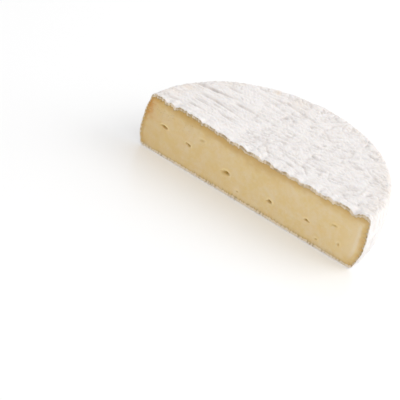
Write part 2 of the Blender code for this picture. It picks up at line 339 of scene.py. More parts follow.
def waves(x, y, wrinkles):
    """Wrinkles of one kind, which run in their direction and wander a little: the wave tile's height at each
    point, blended between its four nearest heights."""
    turn, along, across, seed = wrinkles
    x, y = x + 0.25 * along * smooth_noise(x, y, 11 * MM, 11 * MM, seed), y + 0 * x
    y = y + 0.35 * across * smooth_noise(x, y, 9 * MM, 9 * MM, seed + 1)
    px, py = (way / TILE_STEP for way in turned(x, y, turn))
    ix, iy = np.floor(px).astype(int), np.floor(py).astype(int)
    fx, fy = px - ix, py - iy
    tile = wave_tile(along, across, seed)
    x0, x1, y0, y1 = (i % TILE_POINTS for i in (ix, ix + 1, iy, iy + 1))
    near = tile[y0, x0] * (1 - fx) + tile[y0, x1] * fx
    far = tile[y1, x0] * (1 - fx) + tile[y1, x1] * fx
    return near * (1 - fy) + far * fy


def creased(wave):
    """Flat crests between narrow troughs: 0.6 times 1 less e to the power of -0.8 waves, each kept within
    2."""
    return 0.6 * (1 - np.exp(-0.8 * np.clip(wave, -2, 2)))


def trough(wave):
    """How deep in a trough a wave is: 0 down to half a unit below the middle, and 1 from 1.8 units below."""
    return np.clip((-wave - 0.5) / 1.3, 0, 1)


def crumple(x, y, cell, seed):
    """Thin meandering folds, from 0 to 1: a narrow bell about the lines where a noise crosses 0. The noise
    is half as long again as it is wide, lies turned by 25 degrees, and is bent by a coarser one."""
    bent = x + 1.2 * cell * smooth_noise(x, y, 2.2 * cell, 2.2 * cell, seed + 1)
    rise = y + 1.2 * cell * smooth_noise(x, y, 2.2 * cell, 2.2 * cell, seed + 2)
    along, across = 0.91 * bent + 0.42 * rise, 0.91 * rise - 0.42 * bent
    return np.exp(-((smooth_noise(along, across, 1.5 * cell, cell, seed) / 0.14) ** 2))


def long_creases(x, y):
    """Depth of the long creases: for each, a bell across its wandering line, of uneven depth, which is full
    near its start and fades out towards its end."""
    depth = np.zeros_like(x)
    wander = 0.7 * MM * smooth_noise(x, y, 6 * MM, 6 * MM, 31)
    uneven = 1 + 0.45 * smooth_noise(x, y, 3.5 * MM, 3.5 * MM, 33)
    for x0, y0, x1, y1, width, deep in LONG_CREASES:
        dx, dy = (x1 - x0) * MM, (y1 - y0) * MM
        size = math.hypot(dx, dy)
        along = ((x - x0 * MM) * dx + (y - y0 * MM) * dy) / size
        across = ((y - y0 * MM) * dx - (x - x0 * MM) * dy) / size + wander
        ends = smooth_step(-1.5 * MM, 3 * MM, along) * (1 - smooth_step(0.35 * size, size + 3 * MM, along))
        depth = np.maximum(depth, deep * MM * ends * uneven * np.exp(-((across / (width * MM)) ** 2)))
    return depth


def pits(x, y):
    """Depth of the short pits, each a bell that falls off by its own length along its turn and its own width
    across. Their outlines are bent by a noise of 2 mm."""
    depth = np.zeros_like(x)
    x = x + 0.7 * MM * smooth_noise(x, y, 2 * MM, 2 * MM, 133)
    y = y + 0.7 * MM * smooth_noise(x, y, 2 * MM, 2 * MM, 134)
    for x0, y0, size, width, turn, deep in PITS:
        along, across = turned(x / MM - x0, y / MM - y0, math.radians(turn))
        depth += deep * MM * np.exp(-((along / size) ** 2) - (across / width) ** 2)
    return depth


def edge_dips(x):
    """Depth of the dips of the top edge at the cut, each a bell along it."""
    return sum(deep * MM * np.exp(-(((x - x0 * MM) / (wide * MM)) ** 2)) for x0, deep, wide in EDGE_DIPS)


def banks(x, y):
    """Height of the broad rises and dips of the top, each a round bell."""
    return sum(
        high * MM * np.exp(-((x - x0 * MM) ** 2 + (y - y0 * MM) ** 2) / (size * MM) ** 2)
        for x0, y0, size, high in BANKS
    )


def top_relief(x, y):
    """Height of the rind over the turned top, and the share of painted shade at each point, from 0 to 1.

    Long wrinkles at the left end give way to short ones, and the mixture is evened out by the length of both
    shares together. They carry finer wrinkles and crepe. Right of an irregular border, thin folds cross them
    and small dents lie between. All of this relief is stronger near the middle. It lies on broad swells and
    banks, and the long creases and the pits cut through it. The edge at the cut is scalloped and has small
    teeth, which fade away from the cut. The painted shade lies in the troughs, folds, dents, long creases
    and pits, and is weak beside the cut."""
    share = np.clip((x + 22 * MM) / (30 * MM), 0.0, 1.0)
    side = smooth_step(-0.3, 0.3, smooth_noise(x, y, 13 * MM, 13 * MM, 23))
    short = waves(x, y, SLANTING_WRINKLES) * side + waves(x, y, SHORT_WRINKLES) * (1 - side)
    even = 1 / np.hypot(share, 1 - share)
    main = (waves(x, y, LONG_WRINKLES) * (1 - share) + short * share) * even
    rough = 0.65 + 0.5 * smooth_noise(x, y, 8 * MM, 8 * MM, 25)
    fine = waves(x, y, FINE_LEFT_WRINKLES) * (1 - 0.7 * share)
    fine = (fine + rough * waves(x, y, FINE_RIGHT_WRINKLES) * share) * even
    crepe = waves(x, y, TOP_CREPE)
    swells = 0.25 * MM * smooth_noise(x, y, 17 * MM, 17 * MM, 7)
    swells = swells + 0.16 * MM * smooth_noise(x, y, 5 * MM, 5 * MM, 8)
    scallops = (EDGE_LIFT - edge_dips(x)) * np.exp(-((y / EDGE_REACH) ** 2))
    teeth = 0.14 * MM * smooth_noise(x, y, 1.1 * MM, 2 * MM, 9)
    scallops = scallops + teeth * np.exp(-((y / (2 * MM)) ** 2))
    lines = long_creases(x, y) + pits(x, y)
    kept = smooth_step(-0.5, 0.3, smooth_noise(x, y, 8 * MM, 6 * MM, 119))
    border = x + 8 * MM * smooth_noise(x, y, 11 * MM, 9 * MM, 135)
    crossing = 0.2 + 0.8 * smooth_step(-24 * MM, -4 * MM, border)
    folds = crumple(x, y, 3.6 * MM, 111) * kept + (0.5 - 0.15 * share) * crumple(x, y, 2.1 * MM, 115)
    folds = crossing * folds
    dents = crossing * smooth_step(0.5, 0.95, smooth_noise(x + 0.4 * y, y, 3.8 * MM, 1.6 * MM, 131))
    relief = (0.19 - 0.06 * share) * creased(main) + 0.11 * creased(fine)
    relief = relief + (0.07 - 0.02 * share) * creased(crepe)
    vivid = 1 + 0.3 * np.exp(-(((x + 6 * MM) / (13 * MM)) ** 2) - (y / (40 * MM)) ** 4)
    relief = (relief - 0.24 * folds - 0.19 * dents) * vivid
    # Painted shade: deepest in the troughs, thin folds, dents, long creases and pits, and weak next to the
    # cut
    crease_shade = 0.26 * trough(main) + (0.22 + 0.08 * share) * trough(fine) + 0.2 * trough(crepe)
    crease_shade = np.maximum(crease_shade + 0.38 * folds + 0.3 * dents, 1.05 * lines / (0.5 * MM))
    crease_shade = np.clip(crease_shade, 0, 1) * (1 - 0.8 * np.exp(-y / (1.5 * MM)))
    return relief * MM + swells + scallops + banks(x, y) - lines, crease_shade


def side_relief(arc, z):
    """Outward height of the side's rind, and its share of painted shade, deeper in the troughs and folds:
    upright wrinkles that hang from the shoulder like a gathered cloth, with finer ones between, which are
    weaker in calm areas. Low lumps and a crepe lie on them, and thin folds cross them."""
    broad = waves(z, arc, SIDE_WRINKLES)
    fine = waves(z, arc, FINE_SIDE_WRINKLES)
    crepe = waves(z, arc, SIDE_CREPE)
    lumps = smooth_noise(arc, z, 2.6 * MM, 2.2 * MM, 55)
    calm = 0.7 + 0.45 * smooth_noise(arc, z, 10 * MM, 8 * MM, 57)
    folds = crumple(z, arc, 3 * MM, 123)
    relief = calm * (0.22 * creased(broad) + 0.10 * creased(fine)) + 0.045 * creased(crepe) + 0.08 * lumps
    # Painted shade in the troughs of the wrinkles and in the thin folds
    crease_shade = calm * (0.38 * trough(broad) + 0.3 * trough(fine)) + 0.15 * trough(crepe) + 0.2 * folds
    return (relief - 0.1 * folds) * MM, np.clip(crease_shade, 0, 1)


def side_radius(s, z):
    """The barrel's radius at a height: widest at the waist, and drawn in by a power of the way to each
    end."""
    up = np.clip((z - s.waist) / (s.rim_height - s.waist), 0, None)
    down = np.clip((s.waist - z) / s.waist, 0, None)
    return s.radius - s.top_draw_in * up**2.2 - s.base_draw_in * down**2.6


def top_profile(s, share):
    """Radius and height at a share of the way from the axis: over the sunken top, whose height grows with
    the square of the radius, and a quarter of a circle round the shoulder."""
    edge_z = s.rim_height - s.shoulder
    edge_x = side_radius(s, np.float64(edge_z)) - s.shoulder
    way = share * (edge_x + s.shoulder * math.pi / 2)
    bend = np.clip(way - edge_x, 0, None) / s.shoulder
    flat = np.minimum(way, edge_x)
    sunken = s.rim_height - s.top_sag * (1 - (flat / edge_x) ** 2)
    return flat + s.shoulder * np.sin(bend), np.where(bend > 0, edge_z + s.shoulder * np.cos(bend), sunken)


def base_profile(s, share):
    """Radius and height at a share of the way from the axis: over the flat base, and a quarter of a circle
    round the foot."""
    edge_x = side_radius(s, np.float64(s.foot)) - s.foot
    way = share * (edge_x + s.foot * math.pi / 2)
    bend = np.clip(way - edge_x, 0, None) / s.foot
    return np.minimum(way, edge_x) + s.foot * np.sin(bend), s.foot * (1 - np.cos(bend))


def lay_rind(s, radius, angle, z, wrinkled=1.0):
    """Points of the outer rind, with their shares of painted shade and of tint. The profile is turned to its
    angle, leans along the cut by its height, is lifted by the top's relief and spread by the side's, and
    stays flat below but for shallow dents. Thin folds lie about the shoulder, sunk in and with painted shade
    in them. The tint is a weak uneven band along the rim, and a round bell at each thin patch."""
    x, y = radius * np.cos(angle), np.maximum(radius * np.sin(angle), 0.0)
    edge_z = s.rim_height - s.shoulder
    on_top = np.clip((z - edge_z + s.top_sag) / (s.shoulder * 0.8), 0, 1)
    on_side = (1 - on_top) * np.clip(z / (2 * s.foot), 0, 1)
    lift, top_crease_shade = top_relief(x, y)
    spread, side_crease_shade = side_relief(angle * s.radius, z)
    crumbs = crumple(x, y, 2 * MM, 121) * np.exp(-(((radius - s.radius + 4 * MM) / (4.5 * MM)) ** 2))
    # The thin folds about the shoulder sink the rind and carry painted shade
    lift, top_crease_shade = lift - 0.3 * MM * crumbs, np.maximum(top_crease_shade, 0.65 * crumbs)
    rise = np.clip(1 - z / s.foot, 0, 1) * np.clip((s.radius - 6.5 * MM - radius) / (2 * MM), 0, 1)
    under = 0.1 * MM * np.clip(-waves(x, y, BASE_DENTS), 0, 2)
    points = np.stack(
        [
            x + wrinkled * spread * on_side * np.cos(angle) + s.lean * (z / s.rim_height - 0.5) + AXIS_X,
            y + wrinkled * spread * on_side * np.sin(angle) * (y > CUT_DISTANCE) + CUT_Y,
            z + wrinkled * (lift * on_top + under * rise),
        ],
        -1,
    )
    rim = np.exp(-(((radius - s.radius + 4.5 * MM) / (3.5 * MM)) ** 2)) * on_top
    rim = np.maximum(rim, 0.2 * np.exp(-(np.clip(edge_z - z, 0, None) / (5 * MM))) * on_side)
    tint = 0.22 * rim * smooth_step(-0.3, 0.7, smooth_noise(x + z, y, 7 * MM, 7 * MM, 63))
    for across, back, size, strength in TINTS:
        far = np.hypot(x - across * MM, y - back * MM) / (size * MM)
        tint = np.maximum(tint, strength * np.exp(-(far**2)) * np.maximum(on_top, 0.2 * on_side))
    return points, top_crease_shade * on_top + side_crease_shade * on_side, tint


def half_disc(columns):
    """Shares of the radius and turns of a grid over half a disc. The grid is half a square, and each square
    in it goes to a ring: the larger of |u| and v is the radius, and the other sets the turn within an
    octant."""
    u, v = np.meshgrid(np.linspace(1, -1, columns + 1), np.linspace(0, 1, columns // 2 + 1))
    wide = np.abs(u)
    share = np.maximum(wide, v)
    safe = np.where(share > 0, share, 1)
    turn = np.where(wide >= v, v / safe * math.pi / 4, math.pi / 2 - wide / safe * math.pi / 4)
    return share, np.where(u < 0, math.pi - turn, turn)


def ring_of(top, side, base):
    """The four lines of a form's edge in the cut plane: over the top to the left end, down it, back along
    the base to the right end, and up it."""
    return top[0], side[:, -1], base[0, ::-1], side[::-1, 0]


def join_lines(lines):
    """One open line through lines that meet end to end; the last point is the first again."""
    return np.concatenate([lines[0], *(line[1:] for line in lines[1:])])


def cut_ring(s, columns, rows, wrinkled=1.0):
    """The outer rind's edge in the cut plane, with this many cells across and down, as four lines."""
    across = np.linspace(1, -1, columns + 1)[None]
    turn = np.where(across < 0, math.pi, 0.0)
    z = np.linspace(s.rim_height - s.shoulder, s.foot, rows + 1)[:, None] * np.ones((1, 2))
    radius, height = top_profile(s, np.abs(across))
    top = lay_rind(s, radius, turn, height, wrinkled)[0]
    radius, height = base_profile(s, np.abs(across))
    base = lay_rind(s, radius, turn, height, wrinkled)[0]
    side = lay_rind(s, side_radius(s, z), np.array([[0.0, math.pi]]) + 0 * z, z, wrinkled)[0]
    return ring_of(top, side, base)


def cut_edge(s, columns, rows):
    """The rind's outer line in the cut plane, the direction inwards at each of its points, its thickness
    there, how far each point is a tooth, and how far it is over the top and below. The direction is square
    to the same line without wrinkles.

    The knife drags the rind down in teeth: the part of a wave above 0, whose phase wanders. They are long
    over the top, about 3 mm apart, and short and closer below and at the ends. The rind is thickest over
    the top, more so right of the left third, thinner below, and thinnest at the ends."""
    outer = join_lines(cut_ring(s, columns, rows))
    smooth = join_lines(cut_ring(s, columns, rows, 0.0))[:-1]
    along = np.roll(smooth, -1, 0) - np.roll(smooth, 1, 0)
    inward = np.stack([-along[:, 2], 0 * along[:, 0], along[:, 0]], -1)
    inward /= np.linalg.norm(inward, axis=1, keepdims=True)
    inward = np.concatenate([inward, inward[:1]])
    x, z = outer[:, 0], outer[:, 2]
    over = smooth_step(s.rim_height - 2.6 * MM, s.rim_height - 1.2 * MM, z)
    below = 1 - smooth_step(0.6 * MM, 1.8 * MM, z)
    ends = 1 - over - below
    spacing = (2.85 * over + 2.3 * below + 2.0 * ends) * MM
    phase = 2 * math.pi * (x + z) / spacing + 2.2 * smooth_noise(x, z, 6 * MM, 6 * MM, 71)
    tooth = np.clip(np.cos(phase), 0, 1) * (0.7 + 0.3 * smooth_noise(x, z, 3.3 * MM, 3.3 * MM, 73))
    tooth = np.maximum(tooth * (1 - 0.4 * over), over * np.clip(edge_dips(x - AXIS_X) / MM, 0, 1))
    ragged = smooth_noise(x, z, 0.8 * MM, 0.8 * MM, 75)
    middle, right = smooth_step(-25 * MM, -5 * MM, x), smooth_step(0, 20 * MM, x)
    thick = over * (1.4 + 0.4 * middle + 0.4 * tooth + 0.2 * serration(x, z))
    thick = thick + below * (1.15 + 0.4 * tooth) + ends * (0.3 + 0.25 * right + 0.65 * tooth)
    return outer, inward, (thick + (0.08 + 0.08 * over) * ragged)[:, None] * MM, tooth, over, below


def serration(x, z):
    """Small teeth of the cut along the top's edge, from -1 to 1. They are strongest at the left."""
    return (0.4 + 0.6 * smooth_step(-5 * MM, -25 * MM, x)) * notches(x, z)


def notches(x, z):
    """A wave along the cut, 1.5 mm long, whose phase wanders."""
    return np.cos(2 * math.pi * x / (1.5 * MM) + 4 * smooth_noise(x, z, 2.8 * MM, 2.8 * MM, 77))


def grid_quads(index):
    """Quads of a grid of point numbers."""
    return np.stack([index[:-1, :-1], index[:-1, 1:], index[1:, 1:], index[1:, :-1]], -1).reshape(-1, 4)


def fan_strip(fine, coarse):
    """Triangles between two open lines of point numbers, the first with a whole number of cells for each
    cell of the second: each fine cell goes to the nearer coarse point, and one triangle closes the
    middle."""
    step = (len(fine) - 1) // (len(coarse) - 1)
    cells, nexts = fine[:-1].reshape(-1, step), fine[1:].reshape(-1, step)
    goal = [coarse[:-1] if k < step / 2 else coarse[1:] for k in range(step)]
    middle = cells[:, (step + 1) // 2]
    near = [np.stack([cells[:, k], nexts[:, k], goal[k]], -1) for k in range(step)]
    return np.concatenate([*near, np.stack([middle, coarse[1:], coarse[:-1]], -1)])


def make_piece(name, points, faces, attributes, material):
    """An object from arrays of points and faces. Points that coincide are joined, and faces turned
    outwards."""
    mesh = bpy.data.meshes.new(name)
    mesh.vertices.add(len(points))
    mesh.vertices.foreach_set("co", points.astype(np.float32).ravel())
    corners = np.concatenate([f.ravel() for f in faces])
    sizes = np.concatenate([np.full(len(f), f.shape[1]) for f in faces])
    mesh.loops.add(len(corners))
    mesh.loops.foreach_set("vertex_index", corners.astype(np.int32))
    mesh.polygons.add(len(sizes))
    mesh.polygons.foreach_set("loop_start", np.concatenate([[0], np.cumsum(sizes)[:-1]]).astype(np.int32))
    mesh.update(calc_edges=True)
    for key, values in attributes.items():
        mesh.attributes.new(key, "FLOAT", "POINT").data.foreach_set("value", values.astype(np.float32))
    bm = bmesh.new()
    bm.from_mesh(mesh)
    bmesh.ops.remove_doubles(bm, verts=bm.verts, dist=MERGE_DISTANCE)
    bmesh.ops.recalc_face_normals(bm, faces=bm.faces)
    for face in bm.faces:
        face.smooth = True
    bm.to_mesh(mesh)
    bm.free()
    mesh.materials.append(material)
    piece = bpy.data.objects.new(name, mesh)
    bpy.context.scene.collection.objects.link(piece)
    return piece


def rind_grids(s, columns, base_columns, rows, wrinkled=1.0):
    """The outer rind as three grids of points with their shares: the top, the side and the base. The top and
    the base lie over half discs, and the side joins them."""
    share, turn = half_disc(columns)
    radius, z = top_profile(s, share)
    top = lay_rind(s, radius, turn, z, wrinkled)
    share, turn = half_disc(base_columns)
    radius, z = base_profile(s, share)
    base = lay_rind(s, radius, turn, z, wrinkled)
    heights = np.linspace(s.rim_height - s.shoulder, s.foot, rows + 1)
    turn, z = np.meshgrid(np.linspace(0, math.pi, 2 * columns + 1), heights)
    return top, lay_rind(s, side_radius(s, z), turn, z, wrinkled), base


def number_grids(grids, start):
    """Point numbers of grids that follow each other in one array, and the number after the last."""
    counts = np.cumsum([start, *(g[..., 0].size for g in grids)])
    return [np.arange(a, b).reshape(g.shape[:2]) for g, a, b in zip(grids, counts, counts[1:])], counts[-1]


def inner_wall(s, start):
    """The hidden wall between rind and paste: the smooth outer form, moved in by the rind's thickness, also
    from the cut. Gives its points, its faces and its edge at the cut, numbered from start."""
    grids = []
    for grid, _, _ in rind_grids(s, s.columns // 4, s.columns // 4, s.rows // 4, 0.0):
        x = (grid[..., 0] - AXIS_X) * (1 - s.rind_inset / s.radius) + AXIS_X
        y = (grid[..., 1] - CUT_Y) * (1 - 2 * s.rind_inset / s.radius) + s.rind_inset + CUT_Y
        z = s.rind_inset + grid[..., 2] * (1 - 2 * s.rind_inset / s.rim_height)
        grids.append(np.stack([x, y, z], -1))
    index, _ = number_grids(grids, start)
    points = np.concatenate([g.reshape(-1, 3) for g in grids])
    return points, np.concatenate([grid_quads(i) for i in index]), join_lines(ring_of(*index))


class AddBrieRind(bpy.types.Operator):
    """Add the rind: the outer surface, its ragged edge at the cut, and its inner wall"""

    bl_idname = "brie.add_rind"
    bl_label = "Add Rind"

    def execute(self, context):
        s = context.scene.brie_sizes
        grids = rind_grids(s, s.columns, s.columns // 2, s.rows)
        strip, across, edge_shade = self.cut_strip(s)
        parts = [*(g[0] for g in grids), strip]
        (top, side, base, edge), count = number_grids(parts, 0)
        wall, wall_quads, wall_edge = inner_wall(s, count)
        quads = [grid_quads(top), grid_quads(side[:-1]), grid_quads(base), grid_quads(edge), wall_quads]
        rim = np.concatenate([base[0, :1], base[1:, 0], base[-1, 1:], base[-2::-1, -1]])
        ends = np.cumsum([0, 2 * s.columns, 2 * s.rows, 2 * s.columns, 2 * s.rows])
        fans = [fan_strip(side[-2], rim), fan_strip(edge[-1], wall_edge)]
        for line, a, b in zip(ring_of(top, side, base), ends, ends[1:]):
            fans.append(fan_strip(edge[0, a : b + 1], line))
        flat = np.zeros(strip[..., 0].size)
        hidden = np.zeros(len(wall))
        outside = np.zeros(count - flat.size)
        # Shares of the rind: painted shade in the creases, tint, reach across the cut edge, and brown
        # painted shade along the cut edge
        attributes = {
            "crease_shade": np.concatenate([*(g[1].ravel() for g in grids), flat, hidden]),
            "tint": np.concatenate([*(g[2].ravel() for g in grids), flat, hidden]),
            "cut": np.concatenate([outside, (across + 0 * edge_shade).ravel(), hidden + 1]),
            "edge_shade": np.concatenate([outside, edge_shade.ravel(), hidden]),
        }
        points = np.concatenate([*(p.reshape(-1, 3) for p in parts), wall])
        faces = [np.concatenate(quads), np.concatenate(fans)]
        rind = make_piece("brie_rind", points, faces, attributes, bloomy_rind(context.scene))
        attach(rind, "root")
        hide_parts("brie_half")
        return {"FINISHED"}

    @staticmethod
    def cut_strip(s):
        """The rind's ragged edge at the cut, as rows across its thickness. It swells towards the front as
        half a sine across, by an uneven height. Gives its points, the share across, which is kept lower
        below so that the bottom edge stays whiter as painted light, and the share of painted shade, drawn as
        a brown
        line: in patches towards the paste, less in the teeth, in specks below, weaker at the left end, and
        always some at the right end."""
        outer, inward, thick, tooth, over, below = cut_edge(s, 2 * s.columns, 2 * s.rows)
        x, z = outer[:, 0], outer[:, 2]
        across = np.array(STRIP_SHARES)[:, None]
        strip = outer + inward * thick * across[..., None]
        uneven = 0.7 + 0.3 * smooth_noise(strip[..., 0], strip[..., 2], 0.9 * MM, 0.9 * MM, 81) + 0.5 * tooth
        strip[..., 1] -= 0.18 * MM * np.sin(across**0.6 * math.pi) * uneven
        # Painted shade along the cut edge, drawn in brown and patchy
        mottle = 0.8 - 0.3 * (1 - over) - 0.6 * tooth - 0.4 * over * serration(x, z)
        mottle = mottle + 0.8 * smooth_noise(strip[..., 0], strip[..., 2], 1.6 * MM, 1.2 * MM, 83)
        start = 0.02 + 0.15 * (1 - over)
        line = smooth_step(start, start + 0.2, across) * (1 - 0.5 * over * smooth_step(0.4, 0.65, across))
        mottle = np.maximum(np.clip(mottle, 0.05, 1), 0.4 * smooth_step(45 * MM, 50 * MM, x) * (1 - below))
        edge_shade = (line + 0.1 * over * smooth_step(0.8, 1.0, across)) * mottle
        specks = smooth_step(-0.2, 0.8, notches(x, 0 * x))
        edge_shade = edge_shade * (1 - below * (0.85 - 0.65 * specks))
        edge_shade = edge_shade * (1 - 0.6 * smooth_step(-52 * MM, -55 * MM, x) * (1 - over - below))
        # Below, the share across is kept lower, so the bottom edge keeps more of the white bloom: painted
        # light
        return strip, across * (1 - 0.3 * below), edge_shade


def eye_pits(x, z):
    """Depth of the eyes at points of the cut face, the share of painted shade in the gas holes, which grows
    with their depth, and the share of painted highlight on their lips: for each, a bowl with a ragged
    outline, as a gas hole is when a knife opens it, within a low raised ring whose upper side carries the
    painted highlight."""
    depth, inside, lip_highlight = np.zeros_like(x), np.zeros_like(x), np.zeros_like(x)
    ragged = 0.28 * smooth_noise(x, z, 0.9 * MM, 0.7 * MM, 91)
    for across, height, width, tall, deep, tilt in EYES:
        dx, dz = x - across * MM, z - height * MM
        level, upright = turned(dx, dz, math.radians(tilt))
        far = np.hypot(level / (width * MM / 2), upright / (tall * MM / 2)) + ragged
        bowl = 1 - smooth_step(0.1, 1.1, far)
        gap = (far - 1) / np.maximum(far, 0.2) * np.hypot(dx, dz)
        ring = np.exp(-(((gap - 0.45 * MM) / (0.42 * MM)) ** 2)) * min(1.0, 0.3 + deep / 2)
        depth += 0.75 * deep * MM * bowl - 0.1 * MM * ring
        # Painted shade inside the gas hole, stronger the deeper it is
        inside = np.maximum(inside, bowl * min(1.0, 0.35 + deep / 2.2))
        # Painted highlight on the upper side of the raised ring
        lip_highlight = np.maximum(lip_highlight, 0.65 * ring * smooth_step(-0.5 * MM, 0.6 * MM, 0.25 * dx + dz))
    return depth, inside, lip_highlight


class AddBriePaste(bpy.types.Operator):
    """Add the paste: the cut face with its eyes and knife marks, and the hidden sides against the rind"""

    bl_idname = "brie.add_paste"
    bl_label = "Add Paste"

    def execute(self, context):
        s = context.scene.brie_sizes
        outer, inward, thick = cut_edge(s, 2 * s.columns, 2 * s.rows)[:3]
        edge = outer + inward * (thick - PASTE_OVERLAP)
        # The line starts this many points further on, so that its four edges meet on the roundings
        ahead = 8
        line = np.concatenate([edge[ahead:], edge[1 : ahead + 1]])
        columns, rows = 2 * s.columns - 2 * ahead, 2 * s.rows + 2 * ahead
        ends = np.cumsum([0, columns, rows, columns, rows])
        top, left, bottom, right = (line[a : b + 1] for a, b in zip(ends, ends[1:]))
        face, reach = self.face_between(top, bottom[::-1], right[::-1], left)
        x, z = face[..., 0] - AXIS_X, face[..., 2]
        depth, inside, lip_highlight = eye_pits(x, z)
        near = np.min(reach, axis=0)
        swell = 0.22 * MM * smooth_step(0, 2.5 * MM, near)
        drag = 0.05 * MM * smooth_noise(x + 0.5 * z, z, 1.3 * MM, 9 * MM, 93)
        dimples = 0.06 * MM * smooth_noise(x, z, 1.8 * MM, 1.2 * MM, 95)
        face[..., 1] += PASTE_SET_BACK + depth - swell + (drag + dimples) * smooth_step(0, 1 * MM, near)
        index = np.arange(x.size).reshape(x.shape)
        ring = join_lines([index[0], index[:, -1], index[-1, ::-1], index[::-1, 0]])
        wall, wall_quads, wall_edge = inner_wall(s, x.size)
        wall_edge = np.append(wall_edge[1:], wall_edge[1])
        hidden = np.zeros(len(wall))
        attributes = {key: np.append(value, hidden) for key, value in self.bands(s, x, z, reach).items()}
        # Painted shade in the gas holes, and a painted highlight on their upper lips
        attributes["eye"] = np.append(inside, hidden)
        attributes["lip_highlight"] = np.append(lip_highlight, hidden)
        points = np.concatenate([face.reshape(-1, 3), wall])
        faces = [np.concatenate([grid_quads(index), wall_quads]), fan_strip(ring, wall_edge)]
        paste = make_piece("brie_paste", points, faces, attributes, ripe_paste(context.scene))
        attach(paste, "root")
        return {"FINISHED"}

    @staticmethod
    def face_between(top, bottom, right, left):
        """A surface between four edges, the sum of both straight blends less the blend of the corners, and
        each point's distance from the top, bottom, right and left edge."""
        u = np.linspace(0, 1, len(top))[None, :, None]
        v = np.linspace(0, 1, len(right))[:, None, None]
        corners = (1 - v) * ((1 - u) * top[0] + u * top[-1]) + v * ((1 - u) * bottom[0] + u * bottom[-1])
        face = (1 - v) * top[None] + v * bottom[None]
        face = face + (1 - u) * right[:, None] + u * left[:, None] - corners
        edges = (top[None], bottom[None], right[:, None], left[:, None])
        return face, [np.linalg.norm(face - edge, axis=2) for edge in edges]

    @staticmethod
    def bands(s, x, z, reach):
        """Shares of the ripe ochre band, of the amber at the ends, of a brown line of painted shade against
        the rind, and of the pale band inside the right end. Each falls off as a bell with the distance from
        the smooth form's edge, or for the shade line with the distance from the ragged edge.

        The ochre also fills both lower corners, and comes up gradually towards the left. The amber lies in
        drops and is fullest in a stain high on the left. The line is strongest at the left of the top, and
        is broken into spots along the base."""
        edge_x = side_radius(s, np.float64(s.rim_height - s.shoulder)) - s.shoulder
        over = s.rim_height - s.top_sag * (1 - (x / edge_x) ** 2) - 0.8 * MM - z
        under = z - 0.6 * MM
        lean = x - s.lean * (z / s.rim_height - 0.5)
        right, left = (side_radius(s, z) - 0.5 * MM - side * lean for side in (1, -1))
        uneven = 1 + 0.18 * smooth_noise(x, z, 5 * MM, 2.5 * MM, 101)
        uneven = uneven + 0.15 * smooth_noise(x, z, 1.7 * MM, 1.2 * MM, 103)

        def bell(distance, width, power=2.0):
            return np.exp(-((np.clip(distance, 0, None) / (width * MM * uneven)) ** power))

        def beside(distance, width):
            return np.exp(-((distance / (width * MM)) ** 2))

        upper = smooth_step(11 * MM, 18 * MM, z)
        ripe = np.maximum(0.5 * bell(under, 1.6), 0.65 * bell(right, 2.0 + upper, 4.0))
        ripe = np.maximum(ripe, (0.7 + 0.25 * upper) * bell(left, 1.9, 4.0))
        wider = 1.3 * beside(x + 2 * MM, 18) + smooth_step(25 * MM, 50 * MM, x)
        ripe = np.maximum(ripe, 0.92 * bell(over, 2.8 + wider, 2.3))
        gradual = 0.11 * smooth_step(5 * MM, -40 * MM, x) + 0.15 * smooth_step(-42 * MM, -54 * MM, x)
        ripe = np.maximum(ripe, gradual)
        ripe = np.maximum(ripe, 0.6 * bell(np.hypot(right, 0.8 * z), 5.5, 3.0))
        ripe = np.maximum(ripe, 0.5 * bell(np.hypot(left, 0.8 * z), 6.0, 3.0))
        drops = smooth_step(-0.4, 0.6, smooth_noise(x, z, 1.7 * MM, 1.9 * MM, 107))
        strength = 0.15 * drops + upper * (0.4 + 0.45 * drops) + 0.4 * beside(z - 21.3 * MM, 1.8)
        amber = bell(left, 3.9, 3.0) * np.clip(strength, 0, 1)
        amber = np.maximum(amber, 0.4 * drops * bell(right, 1.7))
        # Painted shade against the rind, drawn as a brown line: along the top, in spots along the base, and
        # at both ends
        spots = smooth_step(-0.2, 0.8, notches(x + AXIS_X, 0 * z))
        line = beside(reach[0], 0.4) * (0.15 + 0.35 * smooth_step(-5 * MM, -25 * MM, x))
        line = np.maximum(line, 0.6 * spots * beside(reach[1], 0.8))
        line = np.maximum(line, 0.4 * beside(reach[2], 0.35))
        line = np.maximum(line, 0.2 * beside(reach[3], 0.35))
        pale = np.maximum(bell(np.abs(right - 3.7 * MM), 1.4), 0.5 * bell(right - 3.7 * MM, 6.0))
        pale = pale * smooth_step(2 * MM, 6 * MM, over) * smooth_step(2 * MM, 3.2 * MM, right)
        pale = pale * smooth_step(2 * MM, 7 * MM, z)
        return {"ripe": ripe.ravel(), "amber": amber.ravel(), "line": line.ravel(), "pale": pale.ravel()}


def add_node(tree, kind, inputs=None, **settings):
    """A node of this kind with its settings. Each input is given as a value, or as a socket to link."""
    node = tree.nodes.new(kind)
    for key, value in settings.items():
        setattr(node, key, value)
    for key, value in (inputs or {}).items():
        if isinstance(value, bpy.types.NodeSocket):
            tree.links.new(value, node.inputs[key])
        else:
            node.inputs[key].default_value = value
    return node


def new_material(name, settings):
    """A new material, its tree, and a Principled shader with these settings, joined to its output."""
    material = bpy.data.materials.new(name)
    material.use_nodes = True
    tree = material.node_tree
    tree.nodes.clear()
    shader = add_node(tree, "ShaderNodeBsdfPrincipled", settings)
    add_node(tree, "ShaderNodeOutputMaterial", {"Surface": shader.outputs[0]})
    return material, tree, shader


